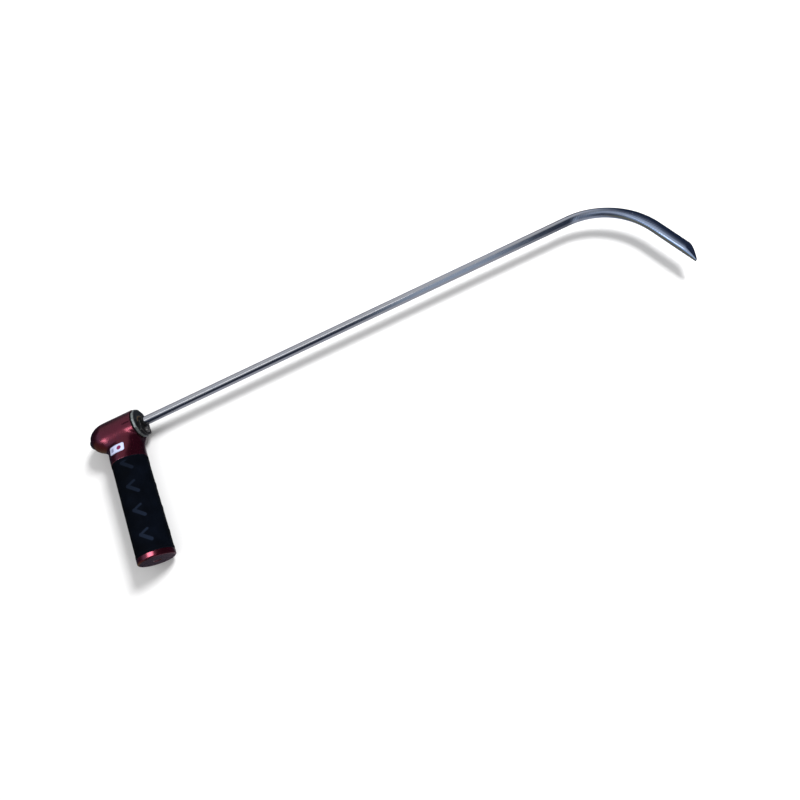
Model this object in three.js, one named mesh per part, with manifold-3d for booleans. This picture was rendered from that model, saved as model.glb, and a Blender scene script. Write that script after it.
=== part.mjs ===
// Body-shop dent rod with an indexing pistol handle.
//
// Millimetres, +Z up: the tool lies on its side, as it does on a bench. The rod runs along +X, the grip
// hangs from the barrel along -Y, and the origin is the centre of the end cap's flat face.
//
// The rod is pinned in a hub that turns in the barrel. A keyed sleeve with a tapered bore, held back by a
// coil spring, grips the hub's taper. The button at the rear pushes the sleeve forward and frees the rod.

import * as THREE from 'three';
import { mergeVertices } from 'three/addons/utils/BufferGeometryUtils.js';
import Module from 'manifold-3d';

const wasm = await Module();
wasm.setup();

// ---------------------------------------------------------------- driving dimensions

const AXIS_HEIGHT = 141; // end cap's face to the barrel's axis

// fits and gaps
const SEAT_GAP = 0.05; // between faces that are clamped together
const PRESS_FIT = 0.03; // radial, pinned and threaded pieces
const RUNNING_FIT = 0.06; // radial, turning pieces
const SLIDING_FIT = 0.2; // radial, the button and the sleeve
const END_PLAY = 0.3; // axial, moving pieces

// rod
const ROD_RADIUS = 4.75;
const ROD_STRAIGHT = 499; // grip axis to the start of the bend
const BEND_RADIUS = 76;
const BEND_ANGLE = THREE.MathUtils.degToRad(66);
const TIP_LENGTH = 49.5; // straight length past the bend
const TIP_WIDTH = 11.2; // flattened end, in the plane of the bend
const TIP_THICKNESS = 7.4;
const TIP_BEVEL = 15.5; // length over which the tip comes to its point
const TIP_CURVE = 1.5; // 1 is a straight cut, more is fuller
const TIP_NOSE = 0.16; // share of the section left at the point

// hub
const HUB_WALL = 1.6;
const HUB_SHOULDER = 1;
const HUB_BODY = 26; // rear end to the shoulder
const HUB_NOSE = 1.5; // past the keeper
const HUB_FLOOR = 1.8;
const CONE_STEP = 0.8;
const CONE_RISE = 1.6;
const CONE_LENGTH = 7;
const HUB_PIN_RADIUS = 1.5;

// barrel and what closes it
const BARREL_WALL = 3.8;
const FRONT_REACH = 20; // grip axis to the housing's front face
const REAR_REACH = 31; // grip axis to the flat at the rear
const DOME_START = 14;
const DOME_LENGTH = 20;
const GASKET_THICKNESS = 1.2;
const PLATE_THICKNESS = 2.6;
const PLATE_INSET = 0.7;
const PLATE_FLATS = 12;
const SPIGOT_LENGTH = 7.3;
const BUSHING_WALL = 1.25;
const BUSHING_FLANGE = 1.2;
const BUSHING_LIP = 1.7;
const WASHER_THICKNESS = 1;

// keeper that holds the hub in
const KEEPER_THICKNESS = 2.8;
const KEEPER_WIDTH = 19;
const KEEPER_BITE = 0.9; // depth of the hub's groove
const SCREW_RADIUS = 1.5;
const SCREW_HEAD_RADIUS = 3.1;
const SCREW_HEAD_HEIGHT = 2.4;
const SCREW_GRIP = 7.5; // length of thread in the plate
const SCREW_SOCKET = 2.5; // across the flats

// lock
const BUTTON_RADIUS = 5;
const BUTTON_TRAVEL = 3.2;
const BUTTON_STANDS_OUT = 3.5;
const BUTTON_STEM_RADIUS = 3;
const SLEEVE_WALL = 2.4;
const SLEEVE_FLOOR = 3;
const SLEEVE_NOSE = 1.5;
const KEY_RADIUS = 1.5;
const SPRING_WIRE = 1.3;
const SPRING_TURNS = 6;
const SEAL_WIRE = 0.62;

// neck and grip
const NECK_LENGTH = 34.5; // barrel's axis to the rubber
const NECK_WAIST = 0.79; // neck's thickness at the barrel, as a share of the barrel's
const NECK_FILLET = 6.5;
const NECK_FRONT_FILLET = 16; // height of the longer fillet under the front of the barrel
const NECK_WEB = 8; // metal between the barrel's bore and the core tube
const GRIP_RADIUS = 18.25;
const GRIP_SWELL = 0.6; // how much wider the grip is at the cap
const SEAM_CHAMFER = 0.5;
const CORE_RADIUS = 13.4;
const CORE_WALL = 3.2;
const CAP_HEIGHT = 6;
const CAP_EDGE = 1.8;
const CAP_PLUG = 12;
const CAP_SEAL_WIRE = 0.9;

// fineness of round shapes
const ROUND = 40;
const SMALL_ROUND = 24;

// ---------------------------------------------------------------- derived sizes, barrel frame
// In the barrel frame x runs forward along the rod and y = 0 is the barrel's axis.

const hubBore = ROD_RADIUS + PRESS_FIT;
const hubBoss = hubBore + HUB_WALL;
const hubBody = hubBoss + HUB_SHOULDER;
const coneSmall = hubBody + CONE_STEP;
const coneLarge = coneSmall + CONE_RISE;
const sleeveRadius = coneLarge + SLEEVE_WALL;
const barrelBore = sleeveRadius + SLIDING_FIT;
const barrelRadius = barrelBore + BARREL_WALL;

const plateBack = FRONT_REACH + GASKET_THICKNESS + 2 * SEAT_GAP;
const plateFront = plateBack + PLATE_THICKNESS;
const plateRadius = barrelRadius - PLATE_INSET;
const spigotBack = plateBack - SPIGOT_LENGTH;
const spigotRadius = barrelBore - 3 * SEAT_GAP;
const bushingBore = hubBoss + RUNNING_FIT;
const bushingRadius = bushingBore + BUSHING_WALL;
const bushingFlangeBack = spigotBack - SEAT_GAP - BUSHING_FLANGE;
const bushingFlangeRadius = bushingRadius + BUSHING_LIP;
const washerBack = bushingFlangeBack - SEAT_GAP - WASHER_THICKNESS;
const hubShoulder = washerBack - SEAT_GAP;
const hubRear = hubShoulder - HUB_BODY;
const coneFront = hubRear + CONE_LENGTH;
const keeperBack = plateFront + SEAT_GAP;
const keeperFront = keeperBack + KEEPER_THICKNESS;
const hubFront = keeperFront + HUB_NOSE;
const grooveRadius = hubBoss - KEEPER_BITE;
const grooveSide = SEAT_GAP + RUNNING_FIT;
const screwDrop = bushingRadius + SCREW_RADIUS + 0.5;
const screwEnd = plateFront - SCREW_GRIP;

const sleeveInnerFloor = hubRear - BUTTON_TRAVEL - END_PLAY;
const sleeveRear = sleeveInnerFloor - SLEEVE_FLOOR;
const sleeveFront = coneFront + SLEEVE_NOSE;
const boreRear = sleeveRear - END_PLAY;
const buttonFace = -REAR_REACH - BUTTON_STANDS_OUT;
const buttonShoulder = boreRear - BUTTON_TRAVEL;
const buttonHole = BUTTON_RADIUS + SLIDING_FIT;
const buttonSealAt = (-REAR_REACH + buttonShoulder) / 2 - BUTTON_TRAVEL / 4;
const springRadius = barrelBore - SPRING_WIRE / 2 - 0.8;
const keyRear = sleeveRear + BUTTON_TRAVEL / 2;
const keyFront = sleeveFront - END_PLAY;
const keySlot = KEY_RADIUS + PRESS_FIT;

// grip, measured up from the end cap's face
const neckBottom = AXIS_HEIGHT - NECK_LENGTH;
const coreTop = AXIS_HEIGHT - barrelBore - NECK_WEB;
const coreBore = CORE_RADIUS - CORE_WALL;
const coreBottom = CAP_HEIGHT + SEAT_GAP;
const sleeveTop = neckBottom - SEAT_GAP;
const sleeveBottom = CAP_HEIGHT + SEAT_GAP;
const capRadius = GRIP_RADIUS + GRIP_SWELL;
const capSealAt = CAP_HEIGHT + CAP_PLUG - 4;

// ---------------------------------------------------------------- materials

const metal = (color, roughness) => new THREE.MeshStandardMaterial({ color, roughness, metalness: 1 });
const soft = (color, roughness) => new THREE.MeshStandardMaterial({ color, roughness, metalness: 0 });

const redAnodised = metal(0x7a1230, 0.28);
const polishedSteel = metal(0xc4c8d0, 0.15);
const greySteel = metal(0x8c9490, 0.35);
const blackSteel = metal(0x26292e, 0.4);
const bareAluminium = metal(0xb8babd, 0.4);
const bronze = metal(0xa9793c, 0.4);
const springSteel = metal(0x6d7075, 0.3);
const blackRubber = soft(0x0c0f15, 0.6);

// ---------------------------------------------------------------- helpers

// A closed BufferGeometry becomes a solid; thin triangles at an axis are dropped, and faces made to point out.
function solid(geometry) {
  const bare = geometry.clone();
  bare.deleteAttribute('normal');
  bare.deleteAttribute('uv');
  const merged = mergeVertices(bare, 1e-4);
  const at = merged.getAttribute('position').array;
  const index = merged.getIndex().array;
  const kept = [];
  let volume = 0;
  for (let i = 0; i < index.length; i += 3) {
    const [a, b, c] = [index[i], index[i + 1], index[i + 2]];
    if (a === b || b === c || c === a) continue;
    kept.push(a, b, c);
    const [p, q, r] = [a, b, c].map((k) => new THREE.Vector3().fromArray(at, 3 * k));
    volume += p.dot(q.cross(r));
  }
  if (volume < 0) kept.reverse();
  return new wasm.Manifold(new wasm.Mesh({
    numProp: 3,
    vertProperties: Float32Array.from(at),
    triVerts: Uint32Array.from(kept),
  }));
}

// A solid back as a geometry that a mesh can show.
function shown(body) {
  const mesh = body.getMesh();
  const geometry = new THREE.BufferGeometry();
  geometry.setAttribute('position', new THREE.BufferAttribute(Float32Array.from(mesh.vertProperties), 3));
  geometry.setIndex(new THREE.BufferAttribute(Uint32Array.from(mesh.triVerts), 1));
  const flat = geometry.toNonIndexed();
  flat.computeVertexNormals();
  return flat;
}

// A profile of [distance along the axis, radius] turned about the Y axis.
function turnedOnY(profile, segments = ROUND) {
  const closed = [...profile, profile[0]];
  return solid(new THREE.LatheGeometry(closed.map(([along, r]) => new THREE.Vector2(r, along)), segments));
}

// The same, turned about the barrel's X axis.
function turned(profile, segments = ROUND) {
  const closed = [...profile, profile[0]];
  const lathe = new THREE.LatheGeometry(closed.map(([along, r]) => new THREE.Vector2(r, along)), segments);
  return solid(lathe.rotateZ(-Math.PI / 2));
}

const ring = (from, to, inner, outer) => turned([[from, inner], [to, inner], [to, outer], [from, outer]]);
const rod = (from, to, radius, segments) => turned([[from, 0], [to, 0], [to, radius], [from, radius]], segments);

// A round bar along Z through (x, y), for cross holes and pins.
function crossBar(x, y, halfLength, radius) {
  const bar = new THREE.CylinderGeometry(radius, radius, 2 * halfLength, SMALL_ROUND);
  return solid(bar.rotateX(Math.PI / 2).translate(x, y, 0));
}

// Points of a quarter round, as [along, radius] pairs about a centre.
function arc(centreAlong, centreRadius, radiusAlong, radiusOut, from, to, steps) {
  return Array.from({ length: steps + 1 }, (_, i) => {
    const angle = from + (to - from) * i / steps;
    return [centreAlong + radiusAlong * Math.cos(angle), centreRadius + radiusOut * Math.sin(angle)];
  });
}

// A ring of round wire about the Y axis or, with turned(), about the barrel.
const wireRing = (at, radius, wire) => arc(at, radius, wire, wire, 0, 2 * Math.PI, 8).slice(0, -1);

// A skin over a list of point rings of equal count, closed at both ends.
function loft(rings) {
  const count = rings[0].length;
  const positions = rings.flat().flatMap((p) => [p.x, p.y, p.z]);
  const faces = [];
  for (let r = 0; r < rings.length - 1; r += 1) {
    for (let i = 0; i < count; i += 1) {
      const a = r * count + i;
      const b = r * count + (i + 1) % count;
      faces.push(a, b, a + count, b, b + count, a + count);
    }
  }
  const last = (rings.length - 1) * count;
  for (let i = 1; i < count - 1; i += 1) {
    faces.push(0, i + 1, i, last, last + i, last + i + 1);
  }
  const geometry = new THREE.BufferGeometry();
  geometry.setAttribute('position', new THREE.Float32BufferAttribute(positions, 3));
  geometry.setIndex(faces);
  return solid(geometry);
}

const around = (count) => Array.from({ length: count }, (_, i) => 2 * Math.PI * i / count);

// ---------------------------------------------------------------- head

// Half-thickness of the neck: round at the rubber, thinner than the barrel where it meets it.
function neckHalfThickness(y) {
  const share = THREE.MathUtils.smoothstep(-y, barrelRadius * 0.37, NECK_LENGTH * 0.9);
  return THREE.MathUtils.lerp(barrelRadius * NECK_WAIST, GRIP_RADIUS, share);
}

// How far the neck flares out at (y, angle) to meet the barrel in a fillet.
function neckFlare(y, angle, halfThickness) {
  const z = halfThickness * Math.sin(angle);
  const barrelSkin = -Math.sqrt(Math.max(barrelRadius ** 2 - z ** 2, 0));
  const forward = THREE.MathUtils.smoothstep(Math.cos(angle), 0, 0.8);
  const height = THREE.MathUtils.lerp(NECK_FILLET, NECK_FRONT_FILLET, forward);
  const near = THREE.MathUtils.clamp((y - barrelSkin + height) / height, 0, 1);
  return NECK_FILLET * Math.cos(angle) ** 2 * (1 - Math.sqrt(1 - near ** 2));
}

function neck() {
  const steps = 22;
  const rings = Array.from({ length: steps + 1 }, (_, i) => {
    const y = -NECK_LENGTH * (1 - i / steps);
    const halfThickness = neckHalfThickness(y);
    return around(ROUND).map((angle) => {
      const reach = GRIP_RADIUS + neckFlare(y, angle, halfThickness);
      return new THREE.Vector3(reach * Math.cos(angle), y, halfThickness * Math.sin(angle));
    });
  });
  const front = new THREE.BoxGeometry(2 * REAR_REACH, 3 * NECK_LENGTH, 4 * GRIP_RADIUS);
  return loft(rings).intersect(solid(front.translate(FRONT_REACH - REAR_REACH, 0, 0)));
}

function headHousing() {
  const domeEnd = Math.acos((REAR_REACH - DOME_START) / DOME_LENGTH);
  const dome = arc(-DOME_START, 0, -DOME_LENGTH, barrelRadius, domeEnd, Math.PI / 2, 10);
  const barrel = turned([
    [-REAR_REACH, 0],
    ...dome,
    [FRONT_REACH - SEAM_CHAMFER, barrelRadius],
    [FRONT_REACH, barrelRadius - SEAM_CHAMFER],
    [FRONT_REACH, 0],
  ]);
  const coreSeat = turnedOnY([
    [-NECK_LENGTH - 1, 0],
    [coreTop - AXIS_HEIGHT + SEAT_GAP, 0],
    [coreTop - AXIS_HEIGHT + SEAT_GAP, CORE_RADIUS + PRESS_FIT],
    [-NECK_LENGTH - 1, CORE_RADIUS + PRESS_FIT],
  ]);
  const keySlots = [1, -1].map((side) => (
    rod(keyRear - SEAT_GAP, FRONT_REACH + 1, keySlot, SMALL_ROUND).translate([0, 0, side * barrelBore])
  ));
  return barrel
    .add(neck())
    .subtract(rod(boreRear, FRONT_REACH + 1, barrelBore))
    .subtract(rod(-REAR_REACH - 1, boreRear + 1, buttonHole))
    .subtract(coreSeat)
    .subtract(keySlots[0])
    .subtract(keySlots[1]);
}

function frontPlate() {
  const flange = new THREE.CylinderGeometry(plateRadius, plateRadius, PLATE_THICKNESS, PLATE_FLATS);
  const middle = (plateBack + plateFront) / 2;
  const screwHole = rod(screwEnd - 1, plateFront + 1, SCREW_RADIUS + PRESS_FIT, SMALL_ROUND);
  return solid(flange.rotateZ(-Math.PI / 2).translate(middle, 0, 0))
    .add(rod(spigotBack, plateBack + 0.5, spigotRadius))
    .subtract(rod(spigotBack - 1, plateFront + 1, bushingRadius + PRESS_FIT))
    .subtract(screwHole.translate([0, -screwDrop, 0]));
}

function frontBushing() {
  return turned([
    [bushingFlangeBack, bushingBore],
    [plateFront, bushingBore],
    [plateFront, bushingRadius],
    [spigotBack - SEAT_GAP, bushingRadius],
    [spigotBack - SEAT_GAP, bushingFlangeRadius],
    [bushingFlangeBack, bushingFlangeRadius],
  ]);
}

function rodHub() {
  return turned([
    [hubRear, 0],
    [hubRear, coneLarge],
    [coneFront, coneSmall],
    [coneFront, hubBody],
    [hubShoulder, hubBody],
    [hubShoulder, hubBoss],
    [keeperBack - grooveSide, hubBoss],
    [keeperBack - grooveSide, grooveRadius],
    [keeperFront + grooveSide, grooveRadius],
    [keeperFront + grooveSide, hubBoss],
    [hubFront - SEAM_CHAMFER, hubBoss],
    [hubFront, hubBoss - SEAM_CHAMFER],
    [hubFront, hubBore],
    [hubRear + HUB_FLOOR, hubBore],
    [hubRear + HUB_FLOOR, 0],
  ]).subtract(crossBar(0, 0, barrelRadius, HUB_PIN_RADIUS + PRESS_FIT));
}

// A half-ring plate that reaches into the hub's groove from below.
function keeper() {
  const flatRadius = plateRadius * Math.cos(Math.PI / PLATE_FLATS);
  const block = new THREE.BoxGeometry(KEEPER_THICKNESS, flatRadius, KEEPER_WIDTH);
  const middle = (keeperBack + keeperFront) / 2;
  const screwHole = rod(keeperBack - 1, keeperFront + 1, SCREW_RADIUS + RUNNING_FIT, SMALL_ROUND);
  return solid(block.translate(middle, -flatRadius / 2 - 1, 0))
    .intersect(rod(keeperBack, keeperFront, flatRadius - SEAM_CHAMFER))
    .subtract(rod(keeperBack - 1, keeperFront + 1, grooveRadius + RUNNING_FIT))
    .subtract(screwHole.translate([0, -screwDrop, 0]));
}

function keeperScrew() {
  const headBack = keeperFront + SEAT_GAP;
  const headFront = headBack + SCREW_HEAD_HEIGHT;
  const socketDepth = SCREW_HEAD_HEIGHT * 0.7;
  const acrossCorners = SCREW_SOCKET / Math.cos(Math.PI / 6);
  const socket = new THREE.CylinderGeometry(acrossCorners / 2, acrossCorners / 2, 2 * socketDepth, 6);
  return turned([
    [screwEnd, 0],
    [headFront, 0],
    [headFront, SCREW_HEAD_RADIUS - SEAM_CHAMFER / 2],
    [headFront - SEAM_CHAMFER / 2, SCREW_HEAD_RADIUS],
    [headBack, SCREW_HEAD_RADIUS],
    [headBack, SCREW_RADIUS],
    [screwEnd, SCREW_RADIUS],
  ], SMALL_ROUND).subtract(solid(socket.rotateZ(-Math.PI / 2).translate(headFront, 0, 0)));
}

// ---------------------------------------------------------------- lock

function lockSleeve() {
  const fitted = (radius) => radius + RUNNING_FIT;
  const keyGrooves = [1, -1].map((side) => (
    rod(sleeveRear - 1, sleeveFront + 1, KEY_RADIUS + SLIDING_FIT, SMALL_ROUND)
      .translate([0, 0, side * barrelBore])
  ));
  return turned([
    [sleeveRear, BUTTON_STEM_RADIUS + PRESS_FIT],
    [sleeveInnerFloor, BUTTON_STEM_RADIUS + PRESS_FIT],
    [sleeveInnerFloor, fitted(coneLarge)],
    [hubRear, fitted(coneLarge)],
    [coneFront, fitted(coneSmall)],
    [sleeveFront, fitted(coneSmall)],
    [sleeveFront, sleeveRadius],
    [sleeveRear, sleeveRadius],
  ]).subtract(keyGrooves[0]).subtract(keyGrooves[1]);
}

function pushButton() {
  const groove = SEAL_WIRE + SEAT_GAP;
  const grooveFloor = buttonHole - 2 * groove;
  return turned([
    [buttonFace, 0],
    ...arc(buttonFace + 1, BUTTON_RADIUS - 1, -1, 1, 0, Math.PI / 2, 4),
    [buttonSealAt - groove, BUTTON_RADIUS],
    [buttonSealAt - groove, grooveFloor],
    [buttonSealAt + groove, grooveFloor],
    [buttonSealAt + groove, BUTTON_RADIUS],
    [buttonShoulder, BUTTON_RADIUS],
    [buttonShoulder, BUTTON_STEM_RADIUS],
    [sleeveInnerFloor, BUTTON_STEM_RADIUS],
    [sleeveInnerFloor, 0],
  ], SMALL_ROUND);
}

function returnSpring() {
  const room = SPRING_WIRE / 2 + END_PLAY;
  const from = sleeveFront + room;
  const to = spigotBack - room;
  class Helix extends THREE.Curve {
    getPoint(t) {
      const angle = 2 * Math.PI * SPRING_TURNS * t;
      const along = from + (to - from) * t;
      return new THREE.Vector3(along, springRadius * Math.cos(angle), springRadius * Math.sin(angle));
    }
  }
  const wire = new THREE.Shape();
  wire.absarc(0, 0, SPRING_WIRE / 2, 0, 2 * Math.PI);
  return solid(new THREE.ExtrudeGeometry(wire, {
    steps: 18 * SPRING_TURNS,
    curveSegments: 4,
    extrudePath: new Helix(),
  }));
}

// ---------------------------------------------------------------- rod

// The rod's centre line: straight, a bend towards the grip's side, and a short straight end.
function rodPoint(distance) {
  const shank = hubRear + HUB_FLOOR + SEAT_GAP;
  const bendStart = ROD_STRAIGHT - shank;
  const bendLength = BEND_RADIUS * BEND_ANGLE;
  const turn = THREE.MathUtils.clamp((distance - bendStart) / BEND_RADIUS, 0, BEND_ANGLE);
  const past = Math.max(distance - bendStart - bendLength, 0);
  const before = Math.min(distance, bendStart);
  return {
    x: shank + before + BEND_RADIUS * Math.sin(turn) + past * Math.cos(turn),
    y: -BEND_RADIUS * (1 - Math.cos(turn)) - past * Math.sin(turn),
    turn,
  };
}

function bentRod() {
  const shank = hubRear + HUB_FLOOR + SEAT_GAP;
  const bendStart = ROD_STRAIGHT - shank;
  const bendLength = BEND_RADIUS * BEND_ANGLE;
  const tipStart = bendStart + bendLength;
  const end = tipStart + TIP_LENGTH;
  const bevelStart = end - TIP_BEVEL;
  const stations = [0, 0.4, bendStart / 4, bendStart / 2, bendStart * 0.75];
  for (let i = 0; i <= 22; i += 1) {
    stations.push(bendStart + bendLength * i / 22);
  }
  for (let i = 1; i <= 3; i += 1) {
    stations.push(tipStart + (bevelStart - tipStart) * i / 3);
  }
  for (let i = 1; i <= 10; i += 1) {
    stations.push(bevelStart + TIP_BEVEL * i / 10);
  }
  const rings = stations.map((distance) => {
    const { x, y, turn } = rodPoint(distance);
    const flat = THREE.MathUtils.smoothstep(distance, bendStart + bendLength / 3, tipStart);
    const beveled = THREE.MathUtils.clamp((distance - bevelStart) / TIP_BEVEL, 0, 1);
    const left = TIP_NOSE + (1 - TIP_NOSE) * (1 - beveled ** TIP_CURVE);
    const full = THREE.MathUtils.lerp(ROD_RADIUS, TIP_WIDTH / 2, flat);
    const half = full * left * (distance === 0 ? 0.92 : 1);
    const thick = THREE.MathUtils.lerp(ROD_RADIUS, TIP_THICKNESS / 2, flat);
    const halfThick = thick * (0.35 + 0.65 * left) * (distance === 0 ? 0.92 : 1);
    const middle = distance > bevelStart ? half - full : 0;
    return around(SMALL_ROUND).map((angle) => {
      const out = middle + half * Math.cos(angle);
      return new THREE.Vector3(x + out * Math.sin(turn), y + out * Math.cos(turn), halfThick * Math.sin(angle));
    });
  });
  return loft(rings).subtract(crossBar(0, 0, barrelRadius, HUB_PIN_RADIUS + PRESS_FIT));
}

// ---------------------------------------------------------------- grip, world frame

function gripCore() {
  return turnedOnY([
    [coreBottom, coreBore],
    [coreTop, coreBore],
    [coreTop, CORE_RADIUS],
    [coreBottom, CORE_RADIUS],
  ]);
}

function gripSleeve() {
  const inner = CORE_RADIUS + PRESS_FIT;
  const length = sleeveTop - sleeveBottom;
  const swell = Array.from({ length: 5 }, (_, i) => {
    const share = i / 4;
    const wider = GRIP_SWELL * THREE.MathUtils.smoothstep(share, 0, 1);
    return [sleeveTop - SEAM_CHAMFER - (length - 2 * SEAM_CHAMFER) * share, GRIP_RADIUS + wider];
  });
  return turnedOnY([
    [sleeveBottom, inner],
    [sleeveTop, inner],
    [sleeveTop, GRIP_RADIUS - SEAM_CHAMFER],
    ...swell,
    [sleeveBottom, capRadius - SEAM_CHAMFER],
  ]);
}

function endCap() {
  const plug = coreBore - PRESS_FIT;
  const groove = CAP_SEAL_WIRE + SEAT_GAP;
  return turnedOnY([
    [0, 0],
    ...arc(CAP_EDGE, capRadius - CAP_EDGE, -CAP_EDGE, CAP_EDGE, 0, Math.PI / 2, 5),
    [CAP_HEIGHT - SEAM_CHAMFER, capRadius],
    [CAP_HEIGHT, capRadius - SEAM_CHAMFER],
    [CAP_HEIGHT, plug],
    [capSealAt - groove, plug],
    [capSealAt - groove, plug - 2 * groove],
    [capSealAt + groove, plug - 2 * groove],
    [capSealAt + groove, plug],
    [CAP_HEIGHT + CAP_PLUG - 1, plug],
    [CAP_HEIGHT + CAP_PLUG, plug - 1],
    [CAP_HEIGHT + CAP_PLUG, 0],
  ]);
}

// ---------------------------------------------------------------- assembly

const group = new THREE.Group();
const barrel = new THREE.Group();
barrel.position.y = AXIS_HEIGHT;
group.add(barrel);

function place(parent, name, body, material, y = 0, z = 0) {
  const mesh = new THREE.Mesh(shown(body), material);
  mesh.name = name;
  mesh.position.set(0, y, z);
  parent.add(mesh);
}

place(barrel, 'head_housing', headHousing(), redAnodised);
place(barrel, 'front_gasket', ring(
  FRONT_REACH + SEAT_GAP,
  plateBack - SEAT_GAP,
  barrelBore,
  plateRadius - PLATE_INSET,
), blackRubber);
place(barrel, 'front_plate', frontPlate(), greySteel);
place(barrel, 'front_bushing', frontBushing(), bronze);
place(barrel, 'thrust_washer', ring(
  washerBack,
  washerBack + WASHER_THICKNESS,
  bushingBore,
  bushingFlangeRadius,
), blackSteel);
place(barrel, 'rod_hub', rodHub(), blackSteel);
place(barrel, 'hub_pin', crossBar(0, 0, hubBody - SEAT_GAP, HUB_PIN_RADIUS), springSteel);
place(barrel, 'dent_rod', bentRod(), polishedSteel);
place(barrel, 'keeper_plate', keeper(), blackSteel);
place(barrel, 'keeper_screw', keeperScrew(), greySteel, -screwDrop);
place(barrel, 'lock_sleeve', lockSleeve(), blackSteel);
place(barrel, 'push_button', pushButton(), blackSteel);
place(barrel, 'button_seal', turned(wireRing(buttonSealAt, buttonHole - SEAL_WIRE - SEAT_GAP, SEAL_WIRE)),
  blackRubber);
place(barrel, 'return_spring', returnSpring(), springSteel);
place(barrel, 'key_pin_upper', rod(keyRear, keyFront, KEY_RADIUS, SMALL_ROUND), springSteel, 0, barrelBore);
place(barrel, 'key_pin_lower', rod(keyRear, keyFront, KEY_RADIUS, SMALL_ROUND), springSteel, 0, -barrelBore);

place(group, 'grip_core', gripCore(), bareAluminium);
place(group, 'grip_sleeve', gripSleeve(), blackRubber);
place(group, 'end_cap', endCap(), redAnodised);
place(group, 'cap_seal', turnedOnY(wireRing(capSealAt, coreBore - PRESS_FIT - CAP_SEAL_WIRE, CAP_SEAL_WIRE)),
  blackRubber);

export default group;
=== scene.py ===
"""Looks for a body-shop dent rod with an indexing pistol handle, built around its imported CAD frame.

Metres, +Z up. The tool lies on its side on a pale floor: the rod runs along +X, the grip hangs along -Y.
Profiles are written in millimetres from the barrel's axis or from the end cap's face, as in the CAD.
"""

import math

import bmesh
import bpy
import numpy as np
from mathutils import Matrix, Vector


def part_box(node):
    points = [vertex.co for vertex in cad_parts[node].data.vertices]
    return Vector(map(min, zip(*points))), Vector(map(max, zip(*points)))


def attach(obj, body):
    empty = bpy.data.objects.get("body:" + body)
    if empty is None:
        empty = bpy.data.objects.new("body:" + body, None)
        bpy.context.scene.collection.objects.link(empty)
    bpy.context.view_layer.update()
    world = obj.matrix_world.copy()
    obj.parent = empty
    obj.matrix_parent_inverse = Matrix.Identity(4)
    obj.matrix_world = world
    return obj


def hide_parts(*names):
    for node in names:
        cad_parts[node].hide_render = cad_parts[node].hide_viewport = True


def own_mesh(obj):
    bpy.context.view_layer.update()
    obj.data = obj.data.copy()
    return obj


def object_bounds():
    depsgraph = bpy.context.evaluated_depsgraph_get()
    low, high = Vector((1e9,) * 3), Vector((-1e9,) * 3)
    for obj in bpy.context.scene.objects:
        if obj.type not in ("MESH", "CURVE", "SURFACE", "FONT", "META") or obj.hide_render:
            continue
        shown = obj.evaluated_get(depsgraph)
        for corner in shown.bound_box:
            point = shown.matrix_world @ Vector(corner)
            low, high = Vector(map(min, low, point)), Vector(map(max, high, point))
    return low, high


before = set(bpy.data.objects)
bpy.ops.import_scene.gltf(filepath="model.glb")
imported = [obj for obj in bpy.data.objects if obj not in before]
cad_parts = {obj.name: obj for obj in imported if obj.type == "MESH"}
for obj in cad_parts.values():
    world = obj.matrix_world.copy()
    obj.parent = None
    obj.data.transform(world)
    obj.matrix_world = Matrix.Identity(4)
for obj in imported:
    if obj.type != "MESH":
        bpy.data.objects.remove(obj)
cad_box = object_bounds()

MM = 0.001

# ---------------------------------------------------------------- places taken from the frame, in mm


def span(node, axis):
    """A CAD node's lowest and highest place along one axis, in mm."""
    low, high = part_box(node)
    return low[axis] / MM, high[axis] / MM


X, Y, Z = 0, 1, 2
AXIS_Y = sum(span("lock_sleeve", Y)) / 2  # height of the barrel's axis above the end cap's face
BARREL_RADIUS = span("head_housing", Y)[1] - AXIS_Y
BARREL_REAR, BARREL_FRONT = span("head_housing", X)
NECK_BOTTOM = span("head_housing", Y)[0] - AXIS_Y
GRIP_LOW, GRIP_HIGH = span("grip_sleeve", Y)
GRIP_WIDE = span("grip_sleeve", Z)[1]
CAP_TOP_OF_RIM = span("grip_sleeve", Y)[0]
CAP_RADIUS = span("end_cap", Z)[1]
CAP_PLUG_TOP = span("end_cap", Y)[1]
PLATE_BACK_OF_SPIGOT, PLATE_FRONT = span("front_plate", X)
PLATE_RADIUS = span("front_plate", Y)[1] - AXIS_Y
BUSHING_REAR, BUSHING_FRONT = span("front_bushing", X)
HUB_REAR, HUB_FRONT = span("rod_hub", X)
KEEPER_BACK, KEEPER_FRONT = span("keeper_plate", X)
SCREW_END, SCREW_FRONT = span("keeper_screw", X)
SCREW_Y = sum(span("keeper_screw", Y)) / 2 - AXIS_Y
SCREW_HEAD = span("keeper_screw", Z)[1]
BUTTON_FACE, BUTTON_END = span("push_button", X)
BUTTON_RADIUS = span("push_button", Z)[1]
SPRING_REAR, SPRING_FRONT = span("return_spring", X)
ROD_END = span("dent_rod", X)[0]

# sizes that the boxes don't give, in mm
ROD_RADIUS = 4.75
ROD_STRAIGHT = 499.0
BEND_RADIUS = 76.0
BEND_ANGLE = math.radians(66)
TIP_LENGTH = 49.48
TIP_WIDTH, TIP_THICKNESS = 11.2, 7.4
TIP_BEVEL = 15.5
TIP_CURVE = 1.5
TIP_NOSE = 0.16
BARREL_BORE = 12.38
BORE_REAR = -21.15
BUTTON_HOLE = 5.2
DOME_START = -14.0
DOME_LENGTH = 20.0
GRIP_RADIUS = 18.25
NECK_WAIST = 0.79
NECK_FILLET = 6.5
NECK_FRONT_FILLET = 16.0
CORE_SEAT = 13.43
CORE_TOP = -20.33

# ---------------------------------------------------------------- mesh helpers


def smoothstep(low, high, value):
    t = np.clip((value - low) / (high - low), 0, 1)
    return t * t * (3 - 2 * t)


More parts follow.
